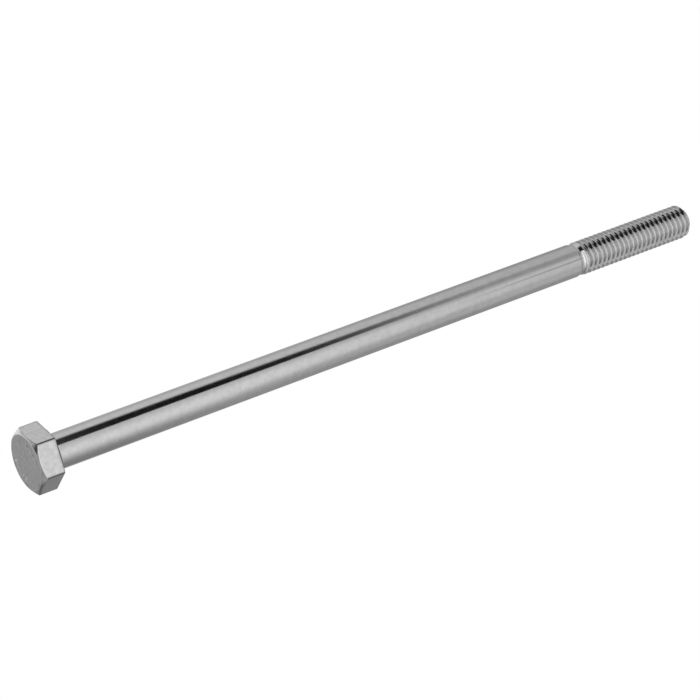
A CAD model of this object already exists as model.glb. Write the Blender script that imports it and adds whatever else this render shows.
# %% [markdown]
# # A long hexagon head bolt in zinc-plated steel
# This lesson dresses a finished CAD model of a bolt for the camera. The model is already the right size
# and in the right place, so every surface made here takes its sizes from it. A bolt is almost all
# reflection: its shape is simple, and what makes it look real is its small radii, its thread, and what
# stands round it to be mirrored.

# %% Load the CAD frame
import math

import bmesh
import bpy
import numpy as np
from mathutils import Matrix, Vector


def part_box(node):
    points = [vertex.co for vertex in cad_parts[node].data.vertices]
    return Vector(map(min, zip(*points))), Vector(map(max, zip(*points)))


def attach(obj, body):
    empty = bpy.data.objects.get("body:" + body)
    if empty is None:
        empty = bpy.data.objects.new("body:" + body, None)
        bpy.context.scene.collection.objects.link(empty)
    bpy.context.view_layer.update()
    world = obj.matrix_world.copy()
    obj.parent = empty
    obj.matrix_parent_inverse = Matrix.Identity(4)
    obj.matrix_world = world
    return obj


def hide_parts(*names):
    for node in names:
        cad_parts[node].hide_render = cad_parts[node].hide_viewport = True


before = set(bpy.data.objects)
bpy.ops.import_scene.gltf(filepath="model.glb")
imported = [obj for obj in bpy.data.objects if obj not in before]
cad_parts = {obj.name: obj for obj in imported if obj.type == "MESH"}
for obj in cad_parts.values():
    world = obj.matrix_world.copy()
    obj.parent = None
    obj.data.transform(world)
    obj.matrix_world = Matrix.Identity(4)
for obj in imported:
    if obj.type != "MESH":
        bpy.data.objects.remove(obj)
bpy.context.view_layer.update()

MM = 0.001

# %% [markdown]
# ## Sizes
# The CAD nodes give where each region begins and ends. The remaining sizes are those of the same bolt:
# its pitch, the flats, and the small radii that a die or a rolling tool leaves, which a CAD model
# leaves sharp.

# %% Sizes read from the frame, and the few that it can't tell
head_low, head_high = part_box("hex_head")
shank_low, shank_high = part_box("plain_shank")
thread_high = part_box("threaded_end")[1]

shank_radius = shank_high.z
major_radius = thread_high.y
flat_distance = head_high.z
shank_start, shank_end = shank_low.x, shank_high.x
bolt_end = thread_high.x

dash_height = 0.14 * MM
head_top = head_low.x + dash_height
top_circle_radius = 4.625 * MM
head_chamfer_angle = math.radians(30)
washer_face_radius = 4.5 * MM
washer_face_height = 0.25 * MM
underhead_fillet = 0.35 * MM
print("head", round(-head_top / MM, 2), "mm high,", round(2 * flat_distance / MM, 2), "mm across flats")
print("shank", round(2 * shank_radius / MM, 2), "mm thick, plain up to", round(shank_end / MM, 1), "mm")

# %% [markdown]
# ## From arrays to a mesh
# Every piece here is a surface of rings round the bolt's axis, so one function places points at a
# distance along the axis and from it, one joins rings to each other, and one turns points and faces
# into an object. No loop runs over points: each surface is a few array sums.

# %% Points, faces and objects
def points_at(x, radius, angle):
    """Points at x along the axis, at that radius and angle, which runs from +Y towards +Z."""
    x, radius, angle = np.broadcast_arrays(x, radius, angle)
    return np.stack([x, radius * np.cos(angle), radius * np.sin(angle)], axis=-1)


def ring_faces(rows, columns):
    """Four-sided faces between neighbouring rings, closed on the last column, facing outwards."""
    row, column = np.meshgrid(np.arange(rows - 1), np.arange(columns), indexing="ij")
    after = (column + 1) % columns
    corners = [
        row * columns + column, row * columns + after,
        (row + 1) * columns + after, (row + 1) * columns + column,
    ]
    return np.stack(corners, axis=-1).reshape(-1, 4)


def fan_faces(first, columns, centre, outwards):
    """Triangles from the ring that starts at index first to one centre point."""
    start = first + np.arange(columns)
    after = first + (np.arange(columns) + 1) % columns
    middle = np.full(columns, centre)
    order = [start, after, middle] if outwards else [after, start, middle]
    return np.stack(order, axis=-1)


crease_angle = math.radians(70)


def shade(mesh):
    """Smooth shading, but with a crease where two faces meet as steeply as a cap meets its side."""
    mesh.shade_smooth()
    mesh.set_sharp_from_angle(angle=crease_angle)


def make_object(name, points, *face_groups):
    """An object at the origin from points and arrays of faces, shaded smooth but for its creases."""
    mesh = bpy.data.meshes.new(name)
    faces = [face for group in face_groups for face in group.tolist()]
    mesh.from_pydata(points.reshape(-1, 3).tolist(), [], faces)
    mesh.update()
    shade(mesh)
    made = bpy.data.objects.new(name, mesh)
    bpy.context.scene.collection.objects.link(made)
    print(name, "has", len(mesh.vertices), "points and", len(mesh.polygons), "faces")
    return made


def turned_piece(name, x, radius, angle):
    """A closed piece from rings that start at the head's side: each end is closed on the axis."""
    rows, columns = np.broadcast_shapes(x.shape, radius.shape, angle.shape)
    rings = points_at(x, radius, angle).reshape(-1, 3)
    ends = np.array([[rings[0, 0], 0, 0], [rings[-1, 0], 0, 0]])
    near, far = rows * columns, rows * columns + 1
    return make_object(
        name, np.concatenate([rings, ends]), ring_faces(rows, columns),
        fan_faces(0, columns, near, False), fan_faces((rows - 1) * columns, columns, far, True),
    )


# %% [markdown]
# ## The profile of a turned or forged part
# Cold-headed steel has no sharp edge anywhere: the die's corners are polished round. Each profile is
# therefore a chain of corners, and each corner is a short parabola whose two ends lie a given distance
# from it. The chain may differ from one angle to the next, which is what makes a hexagon out of a
# turned shape.

# %% Rounded profile
def straight_line(start, end, steps):
    """The points after start up to end, in that many equal steps."""
    return [start + (end - start) * s for s in np.linspace(0, 1, steps + 1)[1:]]


def rounded_chain(corners, cuts, steps, bend_steps=6):
    """x and radius along a chain of corners, each an (x, radius) pair of arrays over the angle.
    A corner C between A and B becomes (1-t)^2 A' + 2t(1-t) C + t^2 B', where A' and B' lie its cut away
    from C on the lines to A and B. The straight lines between have the given numbers of steps."""
    chain = np.array([np.stack(np.broadcast_arrays(x, r)) for x, r in corners])
    rows = [chain[0]]
    here = chain[0]
    for k in range(1, len(chain) - 1):
        before, corner, after = chain[k - 1], chain[k], chain[k + 1]
        towards = before - corner
        onwards = after - corner
        entry = corner + towards * cuts[k - 1] / np.linalg.norm(towards, axis=0)
        leave = corner + onwards * cuts[k - 1] / np.linalg.norm(onwards, axis=0)
        rows += straight_line(here, entry, steps[k - 1])
        for t in np.linspace(0, 1, bend_steps + 1)[1:]:
            rows.append((1 - t) ** 2 * entry + 2 * t * (1 - t) * corner + t ** 2 * leave)
        here = leave
    rows += straight_line(here, chain[-1], steps[-1])
    rows = np.array(rows)
    return rows[:, 0], rows[:, 1]


# %% [markdown]
# ## The head
# The head is upset cold in a die and trimmed to a hexagon, then its top is chamfered at 30 degrees. As
# one surface, the distance from the axis to a flat is d / cos(angle from that flat's middle), and the
# corner is an arc. The chamfer is a cone, so its line on each flat is the curve of a cone cut by a
# plane, with no extra work. A six-sided prism with a cone cut from it and its edges bevelled would look
# the same, but would leave long thin faces there, with no grid for the stamped marks to stand up from.

# %% The hexagon's outline as a function of angle
head_columns = 720
head_angle = np.linspace(0, 2 * np.pi, head_columns, endpoint=False)
corner_radius = 0.4 * MM


def hexagon_radius(angle, half_width, rounding):
    """Distance from the axis to a hexagon with rounded corners, with flats facing +Z and -Z.
    On a flat it is half_width / cos(a), with a measured from the flat's middle. Near a corner it is the far
    side of a circle: D cos(b) + sqrt(rounding^2 - D^2 sin(b)^2), with b measured from the corner."""
    sixth = np.pi / 3
    from_corner = (angle + sixth / 2) % sixth - sixth / 2
    from_flat = sixth / 2 - np.abs(from_corner)
    flat = half_width / np.cos(from_flat)
    circle_distance = (half_width - rounding) / math.cos(sixth / 2)
    tangent_angle = math.atan((half_width - rounding) * math.tan(sixth / 2) / half_width)
    under_root = np.maximum(rounding ** 2 - (circle_distance * np.sin(from_corner)) ** 2, 0)
    arc = circle_distance * np.cos(from_corner) + np.sqrt(under_root)
    return np.where(from_flat < tangent_angle, flat, arc)


edge = hexagon_radius(head_angle, flat_distance, corner_radius)
print("across corners", round(2 * edge.max() / MM, 2), "mm")

# %% [markdown]
# Marks on a bolt's head are pressed up by letters cut in the die. Plain dashes take their place here,
# in the same two arcs. Each is a capsule, a line with round ends, and its height falls off smoothly
# with the distance from that line, so the metal looks pressed up from below and not stuck on.

# %% Raised dashes
dash_circle_radius = 3.3 * MM
dash_half_width = 0.16 * MM
dash_softness = 0.09 * MM
# Each has an angle round the axis and a turn from its radius, in degrees, and a length in mm.
dashes = [(98, -63, 0.8), (115, -50, 0.8), (132, -92, 0.8), (149, -87, 0.8),
          (334, 0, 1.0), (320, 90, 0.8), (305, 130, 1.0), (287, 20, 1.1), (271, 90, 0.8)]


def smooth_step(low, high, value):
    """0 below low, 1 above high, and 3t^2 - 2t^3 between them."""
    t = np.clip((value - low) / (high - low), 0, 1)
    return t * t * (3 - 2 * t)


def dash_relief(across, up):
    """How far the metal stands out of the top face at a point (across, up) of it."""
    relief = np.zeros_like(across)
    for place, turn, length in dashes:
        at = math.radians(place)
        along = math.radians(place + turn)
        y = across - dash_circle_radius * math.cos(at)
        z = up - dash_circle_radius * math.sin(at)
        reach = length * MM / 2 - dash_half_width
        on_line = np.clip(y * math.cos(along) + z * math.sin(along), -reach, reach)
        distance = np.hypot(y - on_line * math.cos(along), z - on_line * math.sin(along))
        fall = smooth_step(dash_half_width - dash_softness, dash_half_width + dash_softness, distance)
        relief = np.maximum(relief, dash_height * (1 - fall))
    return relief


# %% The head as one surface
first_ring_radius = 0.05 * MM
under_hexagon = -washer_face_height
chamfer_end = head_top + (edge - top_circle_radius) * math.tan(head_chamfer_angle)
head_corners = [
    (head_top, first_ring_radius), (head_top, top_circle_radius), (chamfer_end, edge),
    (under_hexagon, edge), (under_hexagon, washer_face_radius), (0, washer_face_radius),
    (0, shank_radius), (shank_start, shank_radius),
]
head_corners = [(x + 0 * edge, r + 0 * edge) for x, r in head_corners]
# How far from its corner each rounding starts, and the steps in each straight line. The top has the most,
# because the dashes need a fine grid.
head_cuts = [0.14 * MM, 0.09 * MM, 0.18 * MM, 0.05 * MM, 0.04 * MM, underhead_fillet]
head_steps = [70, 2, 8, 3, 2, 4, 2]
head_x, head_radius = rounded_chain(head_corners, head_cuts, head_steps)

# The top is very slightly dished, as the die's punch leaves it: level to a fifth of the way out, then rising.
dish_depth = 0.03 * MM
on_top = head_radius < top_circle_radius - head_cuts[0]
on_top &= head_x < head_top + dish_depth
dish = dish_depth * (1 - smooth_step(0.2, 0.93, head_radius / top_circle_radius))
relief = dash_relief(head_radius * np.cos(head_angle), head_radius * np.sin(head_angle))
head_x = np.where(on_top, head_x + dish - relief, head_x)
head = turned_piece("forged_hex_head", head_x, head_radius, head_angle)

# %% [markdown]
# Handling and the plating drum rub the edges of a head first, and dirt stays in the step under it, so
# both are darker than the flats. The top has a slight haze that is rubbed off the raised dashes. A
# shader could look for sharp edges by itself, but it would find them all alike. So how worn or dull a
# point is comes from its distance to the edges that matter, kept on the mesh as a number for the
# finish.

# %% Where the head is worn and dull
def bell(distance, width):
    """1 at the edge, falling to 0 beside it: e^-(d/w)^2."""
    return np.exp(-(distance / width) ** 2)


rubbed, half_rubbed, hazy = 0.9, 0.5, 0.16
corner_width, rim_width = 0.17 * MM, 0.15 * MM
from_corner = np.abs((head_angle + np.pi / 6) % (np.pi / 3) - np.pi / 6) * edge
# The rim is rubbed all round, except on the side that faces this angle.
clean_side = math.radians(105)
worn_side = smooth_step(-0.35, 0.10, -np.cos(head_angle - clean_side))
on_flats = smooth_step(-0.05, 0.05, (head_x - chamfer_end) / MM)
outside = smooth_step(3.6, 4.2, head_radius / MM)
near_rim = smooth_step(4.55, 4.75, head_radius / MM)

corner_wear = rubbed * bell(from_corner, corner_width) * on_flats
rim_wear = rubbed * worn_side * bell(head_x - chamfer_end, rim_width) * outside
chamfer_wear = half_rubbed * worn_side * (1 - on_flats) * near_rim
step_dirt = smooth_step(-0.48, -0.30, head_x / MM) * outside
top_haze = hazy * on_top * (1 - smooth_step(0.0, 0.6, relief / dash_height))
wear = np.maximum.reduce([corner_wear, rim_wear, chamfer_wear, step_dirt, top_haze])
wear = np.append(wear.ravel(), [wear[0, 0], wear[-1, 0]])
head.data.attributes.new("wear", "FLOAT", "POINT").data.foreach_set("value", wear.astype(np.float32))
print("worn points on the head:", int((wear > 0.3).sum()), "of", len(wear))

# %% [markdown]
# ## The shank
# The shank is drawn wire, left at its drawn size. It is a cylinder, but never a perfect one: it swells
# and waves by about a thousandth of a millimetre, which is enough to make the edge of a reflection
# wander. A ready made cylinder has no points between its ends to carry those waves, so this one is a
# fine grid of rings.

# %% The shank as one surface
shank_columns = 144
shank_rows = 420
shank_angle = np.linspace(0, 2 * np.pi, shank_columns, endpoint=False)
shank_x = np.linspace(shank_start, shank_end, shank_rows)[:, None]
wave_height = 0.0012 * MM


def added_waves(waves, x, angle):
    """A few sines of both x and angle, added up: each wave is sin(2 pi x / length + turns * angle + phase),
    with its length in mm. The turns are whole numbers, so that a wave meets itself all the way round."""
    total = 0
    for length, turns, phase in waves:
        total = total + np.sin(2 * np.pi * x / (length * MM) + turns * angle + phase)
    return total


drawing_waves = [(31.0, 1, 0.3), (17.0, -2, 1.9), (9.3, 3, 4.0), (5.9, -1, 2.2), (3.7, 2, 5.1)]
# The waves are lowered by four fifths of the most that they can add up to, so that the shank hardly ever
# swells past its size.
shank_r = shank_radius + wave_height * (added_waves(drawing_waves, shank_x, shank_angle) - 4) / 4
shank = turned_piece("drawn_shank", shank_x, shank_r, shank_angle)

# %% [markdown]
# ## The thread
# The thread is rolled: two dies press a groove into a blank that is thinner than the shank, and the
# metal flows up into crests. So the shank steps down to the blank first, the first crests are not full
# height, and every crest and root is rounded. The groove is a function of one number, the distance
# along the axis from the middle of the nearest turn of the groove, and that distance grows by one pitch
# with each turn. A Screw modifier could wind a V shape round the axis, but every turn would be alike,
# with no soft shoulder and no low first crests. The grid is wound on like the thread itself: each row
# follows the helix, so that crests and roots are rows of the mesh and stay crisp. Where a row would run
# past either end, it is drawn back to that end.

# %% The thread's radius
pitch = 1.0 * MM
thread_depth = 0.613 * pitch
crest_flat = pitch / 8
flank = math.tan(math.radians(30))
blank_radius = 2.67 * MM
neck_start, neck_end = shank_end + 0.7 * MM, shank_end + 0.9 * MM
crests_full_from = 106.05 * MM
full_thread_start = 106.5 * MM
# Where round the bolt the groove lies, as a share of one turn.
groove_phase = 0.15
end_chamfer = 0.8 * MM
root_radius = major_radius - thread_depth
crest_rounding, root_rounding = 0.035 * MM, 0.16 * MM


def smooth_min(a, b, rounding):
    """The smaller of a and b, rounded off where they differ by less than rounding."""
    near = np.maximum(rounding - np.abs(a - b), 0) / rounding
    return np.minimum(a, b) - near ** 2 * rounding / 4


def blank_profile(x):
    """The radius that the crests reach: shank, soft step, blank, rise to full size, and the point's chamfer.
    The step is a smooth step, with no corner, and the rest is straight lines."""
    step = shank_radius + (blank_radius - shank_radius) * smooth_step(shank_end, neck_start, x)
    places = [neck_end, crests_full_from, bolt_end - end_chamfer, bolt_end]
    radii = [blank_radius, major_radius, major_radius, major_radius - end_chamfer]
    return np.where(x < neck_end, step, np.interp(x, places, radii))


def thread_radius(x, offset):
    """The radius at x, offset along the axis from the middle of the groove.
    The groove is a V: its radius grows with the offset by 1 / tan(30) from a rounded root, and the root
    comes up to the crests within one pitch where the thread runs out."""
    fade = np.clip((full_thread_start - x) / pitch, 0, 1)
    root = root_radius + (major_radius - root_radius) * fade
    half_root = (pitch - crest_flat) / 2 - thread_depth * flank
    wall = root + (np.abs(offset) - half_root) / flank
    groove = -smooth_min(-root, -wall, root_rounding)
    return smooth_min(blank_profile(x), groove, crest_rounding)


# %% The thread as one surface
thread_columns = 160
# Where the rows lie on each side of the groove's middle, in pitches: closest at the root and at the crest.
half_turn = np.array([0.025, 0.065, 0.11, 0.16, 0.24, 0.32, 0.39, 0.42, 0.442, 0.466])
turn_rows = np.concatenate([[-0.5], -half_turn[::-1], half_turn])
rows_per_turn = len(turn_rows)
turns = math.ceil((bolt_end - shank_end) / pitch) + 3
row_place = (np.arange(turns)[:, None] + turn_rows).ravel() * pitch
first_groove = full_thread_start - math.ceil((full_thread_start - shank_end) / pitch + 1) * pitch
wound_angle = np.linspace(0, 2 * np.pi, thread_columns, endpoint=False)
unclamped_x = first_groove + row_place[:, None] + pitch * (wound_angle / (2 * np.pi) - groove_phase)
thread_x = np.clip(unclamped_x, shank_end, bolt_end)
row_offset = np.tile(turn_rows, turns)[:, None] * pitch + (thread_x - unclamped_x)
row_offset = (row_offset + pitch / 2) % pitch - pitch / 2

# The unevenness that the dies leave is short waves along and round the thread, which fade at both ends.
rolling_waves = [(1.9, 5, 0.4), (1.3, -7, 2.6), (2.7, 9, 4.4), (0.9, 3, 1.1), (3.9, -11, 5.2)]
mark_height = 0.006 * MM
from_end = np.minimum(thread_x - shank_end, bolt_end - thread_x)
inside_ends = smooth_step(0.0, 0.6, from_end / MM)
marks = mark_height * (added_waves(rolling_waves, thread_x, wound_angle) - 5) / 5 * inside_ends
thread_r = thread_radius(thread_x, row_offset) + marks

# %% Join the wound rows, and close both ends
whole_rows = len(row_place) - rows_per_turn - 1
row, column = np.meshgrid(np.arange(whole_rows), np.arange(thread_columns), indexing="ij")
# Past the last column the grid meets itself one turn further on.
next_column = (column + 1) % thread_columns
next_row = row + rows_per_turn * (column == thread_columns - 1)
wound_faces = np.stack([
    row * thread_columns + column, next_row * thread_columns + next_column,
    (next_row + 1) * thread_columns + next_column, (row + 1) * thread_columns + column,
], axis=-1).reshape(-1, 4)
wound_points = points_at(thread_x, thread_r, wound_angle).reshape(-1, 3)

# The rings of the flat ends, as shares of the rim's radius, closest together at the rim.
cap_shares = np.array([1.0, 0.985, 0.96, 0.9, 0.7, 0.4, 0.15])
near_cap = points_at(shank_end, cap_shares[::-1, None] * shank_radius, wound_angle).reshape(-1, 3)
far_cap = points_at(bolt_end, cap_shares[:, None] * (major_radius - end_chamfer), wound_angle).reshape(-1, 3)
cap_rows = len(cap_shares)
near_at = len(wound_points)
far_at = near_at + len(near_cap)
near_centre = far_at + len(far_cap)
poles = np.array([[shank_end, 0, 0], [bolt_end, 0, 0]])
thread = make_object(
    "rolled_thread", np.concatenate([wound_points, near_cap, far_cap, poles]), wound_faces,
    ring_faces(cap_rows, thread_columns) + near_at, ring_faces(cap_rows, thread_columns) + far_at,
    fan_faces(near_at, thread_columns, near_centre, False),
    fan_faces(far_at + (cap_rows - 1) * thread_columns, thread_columns, near_centre + 1, True),
)

# %% Merge the rows that were drawn back
same_point, no_length = 1e-8, 1e-9
work = bmesh.new()
work.from_mesh(thread.data)
bmesh.ops.remove_doubles(work, verts=work.verts, dist=same_point)
bmesh.ops.dissolve_degenerate(work, edges=work.edges, dist=no_length)
loose = [v for v in work.verts if not v.link_faces]
bmesh.ops.delete(work, geom=loose, context="VERTS")
print("open edges left:", sum(e.is_boundary for e in work.edges), "faces:", len(work.faces))
work.to_mesh(thread.data)
work.free()
shade(thread.data)

# %% [markdown]
# ## Zinc plate
# All three regions were plated together in bright zinc, which gives the eye a neutral, slightly soft
# mirror. What differs is the steel underneath, so one function makes three finishes from how that steel
# was formed. Colours are given as they look on screen and turned to linear light. The relief here is
# about a hundredth of a millimetre deep at most, and anything larger is in the meshes.

# %% Material helpers
def linear(hex_colour):
    """A colour written as RRGGBB in sRGB, as linear red, green, blue and alpha.
    Below 0.04045 a channel is divided by 12.92, above it is ((c + 0.055) / 1.055) ^ 2.4."""
    channels = np.array([int(hex_colour[i:i + 2], 16) for i in (0, 2, 4)]) / 255
    straight = np.where(channels <= 0.04045, channels / 12.92, ((channels + 0.055) / 1.055) ** 2.4)
    return (*straight.tolist(), 1.0)


def add_node(tree, kind, settings=None, links=None):
    """Adds a node, sets its inputs or properties by name, and links inputs to other nodes' outputs."""
    made = tree.nodes.new(kind)
    for name, value in (settings or {}).items():
        if name in made.inputs:
            made.inputs[name].default_value = value
        else:
            setattr(made, name, value)
    for name, source in (links or {}).items():
        tree.links.new(source, made.inputs[name])
    return made


def size_mm(size):
    """The scale that gives a pattern whose features are about this many millimetres across."""
    return 1 / (size * MM)


# %% Zinc plate, from how the steel under it was made
worn_grey = "585858"


def zinc_plate(name, dull, bright, roughness, roughness_change, grain, grain_depth, stretch, blotch):
    """Bright zinc over steel, between a dull and a bright grey. Grain is the size in mm of the fine relief,
    stretch how much longer it is along the bolt, and blotch the size in mm of the clouds in colour and
    roughness. Where the mesh says that it is worn, the grey goes down to that of bare, dirty steel."""
    material = bpy.data.materials.new(name)
    material.use_nodes = True
    tree = material.node_tree
    tree.nodes.clear()
    place = add_node(tree, "ShaderNodeTexCoord").outputs["Object"]
    along = add_node(tree, "ShaderNodeMapping", {"Scale": (1 / stretch, 1, 1)}, {"Vector": place})
    relief = add_node(tree, "ShaderNodeTexNoise",
                      {"Scale": size_mm(grain), "Detail": 3.0, "Roughness": 0.6},
                      {"Vector": along.outputs["Vector"]})
    cloud = add_node(tree, "ShaderNodeTexNoise",
                     {"Scale": size_mm(blotch), "Detail": 4.0, "Roughness": 0.65},
                     {"Vector": place})
    soft = add_node(tree, "ShaderNodeMapRange",
                    {"From Min": 0.3, "From Max": 0.7, "To Min": roughness - roughness_change,
                     "To Max": roughness + roughness_change}, {"Value": cloud.outputs["Fac"]})
    even = add_node(tree, "ShaderNodeMapRange", {"From Min": 0.3, "From Max": 0.7},
                    {"Value": cloud.outputs["Fac"]})
    zinc = add_node(tree, "ShaderNodeMixRGB", {"Color1": linear(bright), "Color2": linear(dull)},
                    {"Fac": even.outputs["Result"]})
    worn = add_node(tree, "ShaderNodeAttribute", {"attribute_name": "wear"})
    colour = add_node(tree, "ShaderNodeMixRGB", {"Color2": linear(worn_grey)},
                      {"Fac": worn.outputs["Fac"], "Color1": zinc.outputs["Color"]})
    bump = add_node(tree, "ShaderNodeBump", {"Strength": 1.0, "Distance": grain_depth * MM},
                    {"Height": relief.outputs["Fac"]})
    shader = add_node(tree, "ShaderNodeBsdfPrincipled", {"Metallic": 1.0},
                      {"Base Color": colour.outputs["Color"], "Roughness": soft.outputs["Result"],
                       "Normal": bump.outputs["Normal"]})
    add_node(tree, "ShaderNodeOutputMaterial", {}, {"Surface": shader.outputs["BSDF"]})
    return material


# Forging leaves a slightly rough skin, so the head mirrors softest. Its grain runs across the bolt.
forged_zinc = zinc_plate(
    "bright_zinc_on_forged_steel", dull="BEBEBE", bright="D4D4D4", roughness=0.18, roughness_change=0.05,
    grain=0.90, grain_depth=0.012, stretch=0.35, blotch=0.7,
)
# Drawing pulls the wire through a die, so the shank is smooth, with a fine grain stretched along it.
drawn_zinc = zinc_plate(
    "bright_zinc_on_drawn_steel", dull="C2C2C2", bright="CECECE", roughness=0.11, roughness_change=0.03,
    grain=0.28, grain_depth=0.003, stretch=4.0, blotch=1.0,
)
# Rolling presses the steel against polished dies, so the thread is smoothest and sparkles most.
rolled_zinc = zinc_plate(
    "bright_zinc_on_rolled_steel", dull="BEBEBE", bright="D4D4D4", roughness=0.09, roughness_change=0.03,
    grain=0.12, grain_depth=0.0015, stretch=1.0, blotch=0.5,
)

# %% Put the pieces on the bolt
for piece, node_name, slot_name, finish in [
    (head, "hex_head", "head_zinc", forged_zinc),
    (shank, "plain_shank", "shank_zinc", drawn_zinc),
    (thread, "threaded_end", "thread_zinc", rolled_zinc),
]:
    piece.data.materials.append(finish)
    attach(piece, "root")
    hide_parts(node_name)
    print(piece.name, "stands for", node_name)

# %% [markdown]
# ## The light
# A shiny bolt shows its surroundings, so a studio puts it in a tent of white cloth that is lit from
# outside. The front of the tent is brightest. Along the top runs a gap where the camera's side and the
# far side of the cloth don't meet. Past the point it narrows and pales. On the shank it becomes the
# thin black line that tells the eye that the steel is polished. Behind the head, one corner of the tent
# stands open. That dark patch and the gap blacken one flank of each turn and the chamfer at the nearest
# corner of the hexagon.
#
# A few area lamps could light the bolt too, but in a mirror a lamp shows as a rectangle with a hard
# edge, and cloth has soft ones. So the tent is a closed drum, and its cloth glows by a formula of where
# a point of it is. Each step of the formula is one lamp, one gap or one sheet, blended in with a smooth
# step, as a studio adds one thing at a time.

# %% How brightly each part of the cloth glows
tent_radius = 0.40
tent_start, tent_end = -0.60, 0.90


def blend(level, other, share):
    """One level blended into another: level + (other - level) * share."""
    return level + (other - level) * share


def tent_glow(x, y, z):
    """Brightness of the cloth at a point of the drum, where 1 is as bright as the white floor.
    The angle, in degrees, goes from the front horizon over the top, and the table fills what is below both
    horizons. Each smooth step says between which two angles, or two places in metres, a level changes."""
    angle = np.degrees(np.arctan2(z, -y))
    angle = np.where(angle < -100, angle + 360, angle)
    past_point = smooth_step(0.20, 0.38, x)

    # In front: the table, lighter towards the horizon, on the head's side and past the point. Above it is
    # the bright sheet, brightest beside the head, which dims towards the top.
    near_table = 0.30 + 0.11 * smooth_step(0.19, 0.24, x)
    near_table = near_table + (0.10 + 0.14 * past_point) * smooth_step(-82, -38, angle)
    near_table = near_table + 0.36 * (1 - smooth_step(-0.05, 0.12, x))
    hot_spot = 0.70 * np.exp(-((x + 0.03) / 0.065) ** 2)
    front_sheet = 1.02 - 0.27 * smooth_step(0.22, 0.40, x) + hot_spot
    glow = blend(near_table, front_sheet, smooth_step(-55 + 35 * past_point, 12 - 7 * past_point, angle))
    glow = glow - 0.30 * smooth_step(20 + 25 * past_point, 70, angle)

    # Along the top: the gap, darkest over the bolt and just past its point, with one patch of light in it.
    gap_level = 0.01 + 0.44 * smooth_step(0.265, 0.345, x) + 0.35 * np.exp(-((x - 0.125) / 0.03) ** 2)
    gap_level = gap_level + 0.30 * (1 - smooth_step(-0.14, -0.06, x))
    gap_front = 76 - 9 * smooth_step(0.05, 0.17, x)
    glow = blend(glow, gap_level, smooth_step(gap_front, gap_front + 5, angle))

    # Behind: a sheet that dims downwards, a shade and a lit window on the head's side, then the table again.
    gap_back = 113 - 18 * smooth_step(0.19, 0.33, x)
    far_sheet = 0.80 - 0.17 * past_point - 0.24 * smooth_step(135, 180, angle)
    glow = blend(glow, far_sheet, smooth_step(gap_back - 9, gap_back + 9, angle))
    far_shade = smooth_step(-0.42, -0.32, x) * (1 - smooth_step(0.02, 0.10, x))
    far_shade = far_shade * smooth_step(150, 160, angle) * (1 - smooth_step(176, 183, angle))
    glow = glow - 0.18 * far_shade + 0.14 * smooth_step(0.39, 0.42, x) * smooth_step(120, 150, angle)
    glow = glow + 0.60 * smooth_step(181, 192, angle) * (1 - smooth_step(0.0, 0.1, x))
    far_table = 0.50 - 0.18 * smooth_step(238, 260, angle)
    glow = blend(glow, far_table, smooth_step(198, 212, angle))

    # A dark seam in the front cloth, well past the point.
    seam = np.exp(-((angle - 31) / 4) ** 2) * smooth_step(0.32, 0.37, x)
    glow = glow - 0.38 * seam

    # The end behind the head: an even sheet with two soft lights and a paler side, and the open corner.
    low_light = 0.28 * np.exp(-((y + 0.13) ** 2 + (z + 0.11) ** 2) / 0.012)
    high_light = 1.10 * np.exp(-((y + 0.22) ** 2 + (z - 0.18) ** 2) / 0.010)
    end_sheet = 0.42 + low_light + 0.20 * smooth_step(0.19, 0.27, y) + high_light
    glow = blend(glow, end_sheet, 1 - smooth_step(-0.56, -0.42, x))
    closed_part = smooth_step(146, 153, angle) * smooth_step(0.19, 0.27, y)
    open_corner = smooth_step(0.06, 0.13, y) * smooth_step(-0.03, 0.01, z) * (1 - closed_part)
    return glow * (1 - open_corner * (1 - smooth_step(-0.42, -0.25, x)))


# %% The tent, a closed drum
tent_columns = 180
end_shares = np.linspace(0.02, 0.98, 25)[:, None]
wall_x = np.linspace(tent_start, tent_end, 101)[:, None]
tent_x = np.concatenate([0 * end_shares + tent_start, wall_x, 0 * end_shares + tent_end])
tent_r = tent_radius * np.concatenate([end_shares, 0 * wall_x + 1, end_shares[::-1]])
tent_angle = np.linspace(0, 2 * np.pi, tent_columns, endpoint=False)
tent = turned_piece("light_tent", tent_x, tent_r, tent_angle)
tent_points = np.empty(len(tent.data.vertices) * 3)
tent.data.vertices.foreach_get("co", tent_points)
glow = tent.data.attributes.new("glow", "FLOAT", "POINT")
glow_levels = tent_glow(*tent_points.reshape(-1, 3).T)
glow.data.foreach_set("value", glow_levels.astype(np.float32))
print("the cloth glows from", round(float(glow_levels.min()), 2), "to", round(float(glow_levels.max()), 2))

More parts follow.
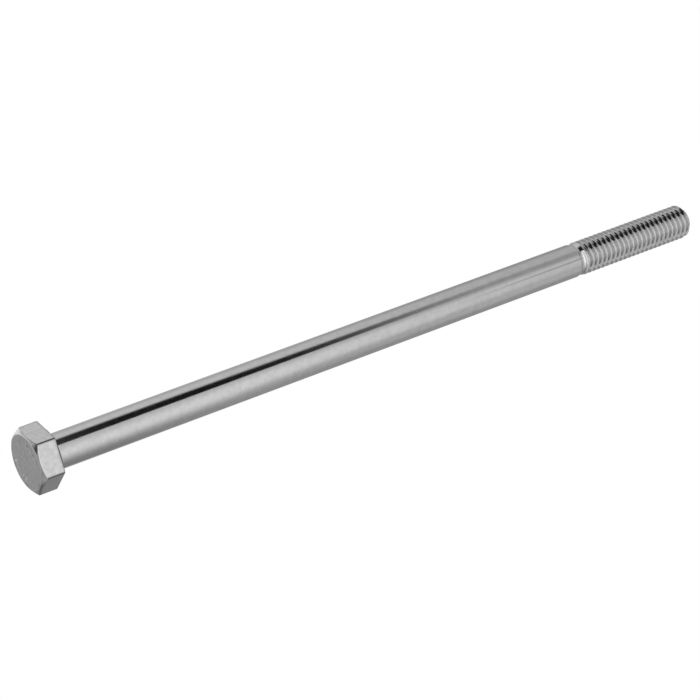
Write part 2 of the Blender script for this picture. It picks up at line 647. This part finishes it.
# %% Glowing cloth, and the white floor
def glowing(name, strength=1.0, attribute=None):
    """A surface that only gives light, evenly or by a point attribute."""
    material = bpy.data.materials.new(name)
    material.use_nodes = True
    tree = material.node_tree
    tree.nodes.clear()
    shine = add_node(tree, "ShaderNodeEmission", {"Strength": strength})
    if attribute:
        level = add_node(tree, "ShaderNodeAttribute", {"attribute_name": attribute})
        tree.links.new(level.outputs["Fac"], shine.inputs["Strength"])
    add_node(tree, "ShaderNodeOutputMaterial", {}, {"Surface": shine.outputs["Emission"]})
    return material


def flat_sheet(name, half_x, half_y, z):
    """A level sheet of four corners, centred under the bolt."""
    corners = [(-half_x, -half_y, z), (half_x, -half_y, z), (half_x, half_y, z), (-half_x, half_y, z)]
    return make_object(name, np.array(corners), np.array([[0, 1, 2, 3]]))


tent.data.materials.append(glowing("lit_tent_cloth", attribute="glow"))
# The floor lies a hair below the lowest flat, because two faces in one plane flicker.
hair_gap = 0.05 * MM
floor_reach = 3.0
floor = flat_sheet("floor", floor_reach, floor_reach, head_low.z - hair_gap)
floor.data.materials.append(glowing("pale_light_table", 1.0))

# The metal mirrors the tent and the camera doesn't see it. The floor is the other way round: the camera sees
# it white, as a light table, and the metal mirrors the dimmer lower half of the drum.
tent.visible_camera = False
floor.visible_glossy = floor.visible_diffuse = False

world = bpy.data.worlds.new("studio")
bpy.context.scene.world = world
world.use_nodes = True
world.node_tree.nodes["Background"].inputs["Strength"].default_value = 0.0

# %% [markdown]
# ## The camera
# A long lens from in front of the head and above, so that the bolt runs away to the upper right. The
# camera is placed by the angle it looks from, the point it looks at, how far off it is and a slight
# roll.

# %% Camera
aim = Vector((57.55, 0, -1.42)) * MM
azimuth, elevation, roll = math.radians(-36.47), math.radians(33.20), math.radians(1.67)
distance = 473.9 * MM
backwards = Vector((
    math.sin(azimuth) * math.cos(elevation), -math.cos(azimuth) * math.cos(elevation), math.sin(elevation),
))
camera = bpy.data.objects.new("camera", bpy.data.cameras.new("camera"))
bpy.context.scene.collection.objects.link(camera)
camera.data.sensor_width = 36.0
camera.data.lens = 147.3
camera.data.clip_start, camera.data.clip_end = 0.01, 20.0
look = (-backwards).to_track_quat("-Z", "Y").to_matrix().to_4x4()
camera.matrix_world = Matrix.Translation(aim + backwards * distance) @ look @ Matrix.Rotation(roll, 4, "Z")
bpy.context.scene.camera = camera
bpy.context.scene.view_settings.view_transform = "Standard"
print("camera", [round(v / MM) for v in camera.location], "mm")
